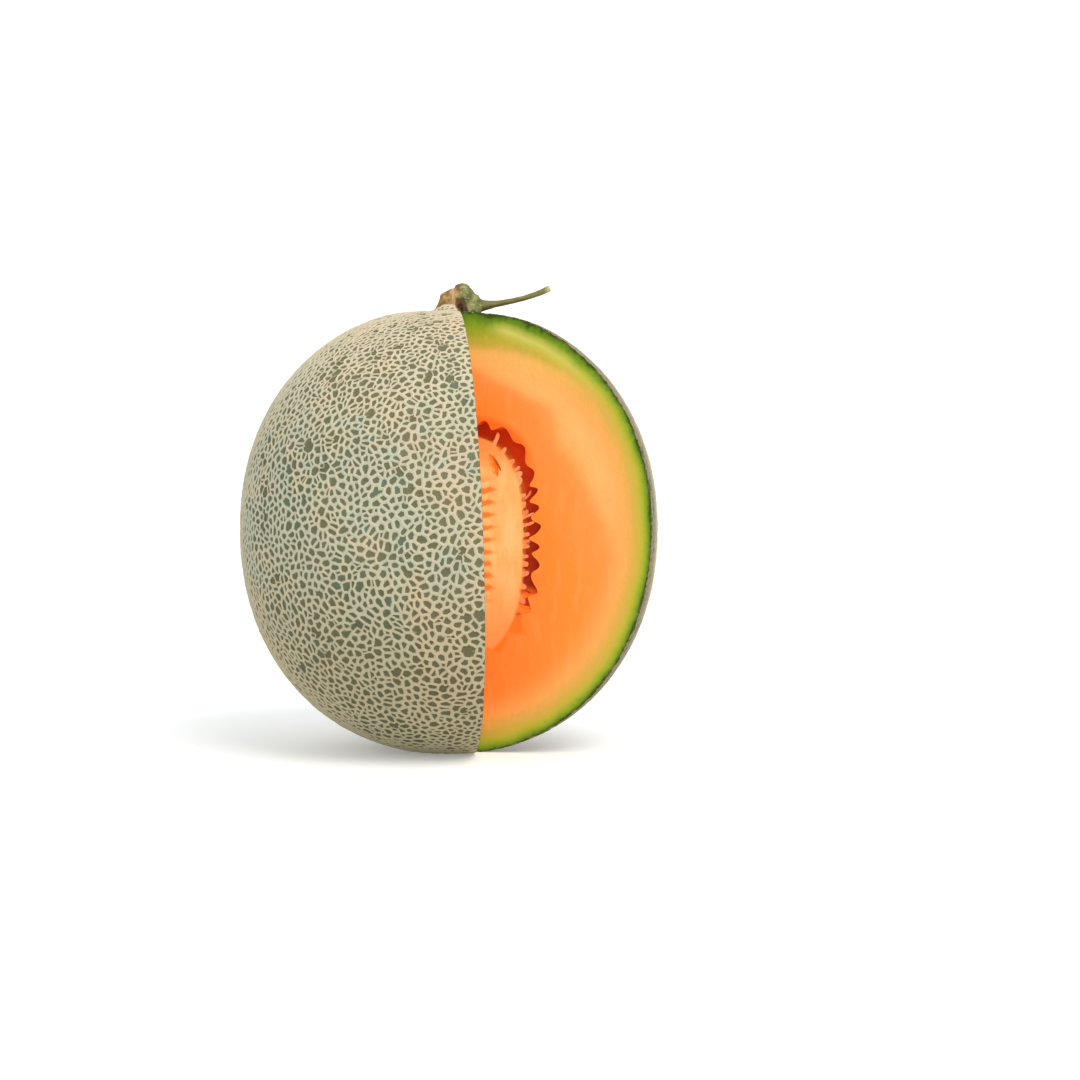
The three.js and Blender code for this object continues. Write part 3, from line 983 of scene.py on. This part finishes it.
STEM_SEAT = Vector((*STEM_AT, WIDEST + 77.3 * MM))
STEM_TURN = math.radians(-40.4)
STEM_GRAIN = 0.23 * MM

# The turned foot: radius and height of each point, in mm.
FOOT_PROFILE = [
    (0, -3), (9.2, -3), (9.2, -0.6), (8.1, 1.2), (7, 3.2),
    (6, 5.2), (5.2, 7), (4, 8.2), (2.4, 9), (0, 9.2),
]
FOOT_NARROW = 0.82
FOOT_RIBS = 5
RIB_DEPTH = 0.06

# Lumps and hollows: middle and half sizes along, across and up, in mm.
STEM_LUMPS = [
    ((1.7, 0, 8.8), (3.0, 2.9, 2.2)),
    ((3.0, -0.6, 7.2), (2.9, 3.3, 2.7)),
    ((4.9, -0.4, 4.4), (3.4, 3.9, 3.4)),
    ((5.6, -2.0, 1.4), (2.9, 3.6, 2.4)),
    ((-4.0, -2.4, 5.0), (2.6, 3.0, 2.8)),
    ((-1.7, -3.6, 4.6), (1.1, 2.6, 3.4)),
]
STEM_HOLLOWS = [
    ((1.0, -7.4, 2.4), (1.1, 2.8, 3.6)),
    ((-3.2, -8.0, 2.4), (0.5, 2.2, 1.6)),
]

# The arm: place along, across and up, and radius, in mm.
ARM_LINE = [
    (3, 0, 3.6, 3.2), (7, 0, 2.9, 2.8), (10, 0.1, 3.1, 1.8), (13.5, 0.3, 3.6, 1.25), (18.8, 0.8, 4.5, 1.05),
    (24.2, 1.2, 5.8, 1.0), (29, 1.2, 7.3, 1.06), (32.2, 1.1, 8.8, 1.25), (33.4, 1.0, 9.5, 1.2),
]
ARM_STARTS = 8


def add_lump(shape, middle, size):
    """Adds a ball stretched to a size."""
    ball = bmesh.new()
    bmesh.ops.create_icosphere(ball, subdivisions=4, radius=1)
    bmesh.ops.scale(ball, verts=ball.verts, vec=Vector(size) * MM)
    bmesh.ops.translate(ball, verts=ball.verts, vec=Vector(middle) * MM)
    add_shape(shape, ball)


def turned_foot():
    """The foot, turned round its axis, then ribbed and made narrower one way."""
    foot = bmesh.new()
    points = [foot.verts.new((radius * MM, 0, up * MM)) for radius, up in FOOT_PROFILE]
    profile = points + [foot.edges.new(pair) for pair in zip(points, points[1:])]
    bmesh.ops.spin(foot, geom=profile, angle=2 * math.pi, steps=60, axis=(0, 0, 1), use_merge=True)
    bmesh.ops.remove_doubles(foot, verts=foot.verts, dist=0.001 * MM)
    for vert in foot.verts:
        rib = 1 - RIB_DEPTH * math.cos(FOOT_RIBS * math.atan2(vert.co.y, vert.co.x))
        vert.co.x *= rib
        vert.co.y *= rib * FOOT_NARROW
    bmesh.ops.recalc_face_normals(foot, faces=foot.faces)
    return foot


def relief(place):
    """Height of the stem's skin at a place in mm: cracked cork, and ridged green wood."""
    turn = math.atan2(place.y, place.x)
    cork = max(0, min(1, (1 - place.x) / 2))
    crack = noise.noise(Vector((turn * 6, 3, place.z * 0.35)))
    lumps = noise.noise(place * 0.45)
    ridge = noise.noise(Vector((place.x * 0.16, place.y * 1.3, place.z * 1.3 + 40)))
    if place.x > ARM_STARTS:
        return 0.14 * ridge + 0.06 * lumps
    return cork * (0.5 * crack + 0.35 * lumps) + (1 - cork) * (0.22 * ridge + 0.2 * lumps)


def grown_stem():
    """Foot, lumps and arm made one, hollowed, evened out and given their relief."""
    shape = turned_foot()
    for middle, size in STEM_LUMPS:
        add_lump(shape, middle, size)
    points = [(along * MM, across * MM, up * MM) for along, across, up, thick in ARM_LINE]
    radii = [thick for along, across, up, thick in ARM_LINE]
    add_tube(shape, points, radii, MM, order=4, along=6, around=5)
    stem = as_object(shape, "stem_with_arm")
    fuse(stem, STEM_GRAIN * 1.6)
    for middle, size in STEM_HOLLOWS:
        hollow = bmesh.new()
        add_lump(hollow, middle, size)
        carve(stem, as_object(hollow, "hollow"))
    fuse(stem, STEM_GRAIN)
    with opened(stem) as shape:
        soften(shape, 6)
        shape.normal_update()
        for vert in shape.verts:
            vert.co += vert.normal * relief(vert.co / MM) * MM
        turned = Matrix.Rotation(STEM_TURN, 3, "Z")
        bmesh.ops.rotate(shape, verts=shape.verts, matrix=turned)
        bmesh.ops.translate(shape, verts=shape.verts, vec=STEM_SEAT)
    return stem


def stem_finish():
    finish = Finish("stem")
    place = finish.place()
    settings = {"vector_type": "TEXTURE"}
    inputs = {"Vector": place, "Location": tuple(STEM_SEAT), "Rotation": (0, 0, STEM_TURN)}
    local = finish.node("ShaderNodeMapping", settings, inputs)
    along, across, up = finish.parts(local)
    cloud = finish.noise(local, 3.5 * MM, detail=3)
    fine = finish.noise(local, 0.7 * MM, detail=3)
    fissure = finish.noise(finish.scaled(local, (1, 1, 0.25)), 0.8 * MM, detail=3)
    strand = finish.noise(finish.scaled(local, (0.25, 1, 1)), 0.7 * MM, detail=3)

    cork = finish.blend(cloud.between(0.35, 0.65), tone(126, 92, 42), tone(180, 148, 90))
    cork = finish.blend(fissure.between(0.52, 0.7) * 0.7, cork, tone(88, 60, 24))
    streak = 1 - (abs(along + 1.9 * MM + (cloud - 0.5) * 3 * MM) * (1 / MM)).between(0.2, 1.3)
    streak = streak * across.between(0, -2 * MM)
    cork = finish.blend(streak * 0.7, cork, tone(212, 164, 122))
    green = finish.blend(cloud.between(0.35, 0.65), tone(92, 98, 48), tone(138, 138, 84))
    green = finish.blend(strand.between(0.5, 0.72) * 0.6, green, tone(184, 182, 132))
    blotch = finish.noise(local, 2.2 * MM, detail=3)
    green = finish.blend(blotch.between(0.52, 0.66) * 0.6, green, tone(86, 68, 34))
    green = finish.blend(fine.between(0.55, 0.8) * 0.4, green, tone(104, 92, 50))
    arm = finish.blend(cloud.between(0.3, 0.5), tone(152, 120, 80), tone(122, 118, 66))
    arm = finish.blend(strand.between(0.5, 0.7) * 0.5, arm, tone(104, 100, 52))
    arm = finish.blend(along.between(31 * MM, 33 * MM) * 0.8, arm, tone(192, 200, 150))
    colour = finish.blend((along + (cloud - 0.5) * 5 * MM).between(-0.6 * MM, 1.6 * MM), cork, green)
    colour = finish.blend(along.between(8 * MM, 11 * MM), colour, arm)
    brown_top = up.between(9.4 * MM, 10.6 * MM) * (1 - along.between(0, 3 * MM))
    colour = finish.blend(brown_top * 0.8, colour, tone(112, 86, 46))
    # Painted shade darkens the hollow on the stem's side.
    sideways = (along - 1.5 * MM + (up - 3 * MM) * 0.35) * (1 / (2.1 * MM))
    upwards = (up - 3 * MM) * (1 / (3.6 * MM))
    hollow = (sideways * sideways + upwards * upwards + (cloud - 0.5) * 2).between(1.3, 0.5)
    hollow = hollow * across.between(-1 * MM, -3 * MM)
    colour = finish.blend(hollow * 0.9, colour, tone(70, 42, 16))
    # Painted shade darkens the underside where the arm leaves the foot.
    shade_under_arm = (up - 3.1 * MM - (along - 10 * MM) * 0.22).between(0.4 * MM, -1.2 * MM)
    shade_under_arm = shade_under_arm * along.between(6 * MM, 10 * MM)
    colour = finish.blend(shade_under_arm * 0.6, colour, tone(72, 72, 28))
    finish.set(
        Base_Color=colour,
        Roughness=0.75,
        Normal=finish.bump(fissure + fine * 0.6 + strand * 0.6, 0.3 * MM, 0.7),
        Specular_IOR_Level=0.3,
    )
    return finish.material


stem = grown_stem()
stem.data.materials.clear()
stem.data.materials.append(stem_finish())
stem.data.shade_smooth()
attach(stem, "root")
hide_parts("stem")

# ---- Studio -------------------------------------------------------------------------------
# The melon stands on a plain pale floor, with a pale wall behind it. An even sky and two square
# soft boxes light it, and the camera looks at it from a little above.

CAMERA_TURN = math.radians(-40.4)
CAMERA_RISE = math.radians(3)
CAMERA_AWAY = 1.0
LENS = 92.5
SENSOR = 36
AIM_RIGHT = math.radians(1.872)
AIM_DOWN = math.radians(0.233)

# Half the width of the floor and of the wall, and how far behind the melon the wall stands.
FLOOR_SIDE = 6
WALL_SIDE = 1.5
WALL_AWAY = 3

LAMP_COLOUR = (1, 0.97, 0.92)
SKY_COLOUR = (0.95, 0.985, 1, 1)
SKY_STRENGTH = 0.78

floor = bmesh.new()
bmesh.ops.create_grid(floor, x_segments=1, y_segments=1, size=FLOOR_SIDE)
floor = as_object(floor, "floor")
floor_paint = Finish("floor")
floor_paint.set(Base_Color=tone(244, 244, 244), Roughness=0.9, Specular_IOR_Level=0.1)
floor_paint.set(Emission_Color=tone(255, 255, 255), Emission_Strength=0.22)
floor.data.materials.append(floor_paint.material)

wall = bmesh.new()
bmesh.ops.create_grid(wall, x_segments=1, y_segments=1, size=WALL_SIDE)
bmesh.ops.rotate(wall, verts=wall.verts, matrix=Matrix.Rotation(math.pi / 2, 3, "X"))
bmesh.ops.translate(wall, verts=wall.verts, vec=(0, WALL_AWAY, WALL_SIDE))
bmesh.ops.rotate(wall, verts=wall.verts, matrix=Matrix.Rotation(CAMERA_TURN, 3, "Z"))
wall = as_object(wall, "wall")
wall_paint = Finish("wall")
wall_paint.set(Base_Color=tone(128, 128, 128), Emission_Color=tone(255, 255, 255), Emission_Strength=1.0)
wall.data.materials.append(wall_paint.material)


def way_out(turn, rise):
    """The way from the melon at a turn round it and a rise over the floor."""
    level = math.cos(rise)
    return Vector((math.sin(turn) * level, -math.cos(turn) * level, math.sin(rise)))


back = way_out(CAMERA_TURN, CAMERA_RISE)
camera = bpy.data.objects.new("camera", bpy.data.cameras.new("camera"))
bpy.context.collection.objects.link(camera)
camera.data.lens = LENS
camera.data.sensor_width = SENSOR
camera.data.clip_start = 0.05
camera.location = Vector((0, 0, WIDEST)) + back * CAMERA_AWAY
look = (-back).to_track_quat("-Z", "Y").to_matrix()
look = look @ Matrix.Rotation(-AIM_RIGHT, 3, "Y") @ Matrix.Rotation(-AIM_DOWN, 3, "X")
camera.rotation_euler = look.to_euler()
bpy.context.scene.camera = camera


def soft_lamp(name, turn, rise, away, size, power):
    """A square soft box that faces the melon."""
    lamp = bpy.data.objects.new(name, bpy.data.lights.new(name, "AREA"))
    bpy.context.collection.objects.link(lamp)
    lamp.data.size = size
    lamp.data.energy = power
    lamp.data.color = LAMP_COLOUR
    side = way_out(turn, rise)
    lamp.location = Vector((0, 0, WIDEST)) + side * away
    lamp.rotation_euler = (-side).to_track_quat("-Z", "Y").to_euler()


right = CAMERA_TURN + math.radians(32)
left = CAMERA_TURN - math.radians(30)
soft_lamp("key", turn=right, rise=math.radians(48), away=1.6, size=1.0, power=15)
soft_lamp("fill", turn=left, rise=math.radians(20), away=1.6, size=1.2, power=2)

world = bpy.data.worlds.new("studio")
world.use_nodes = True
sky = world.node_tree.nodes["Background"]
sky.inputs["Color"].default_value = SKY_COLOUR
sky.inputs["Strength"].default_value = SKY_STRENGTH
bpy.context.scene.world = world
bpy.context.scene.view_settings.view_transform = "Standard"
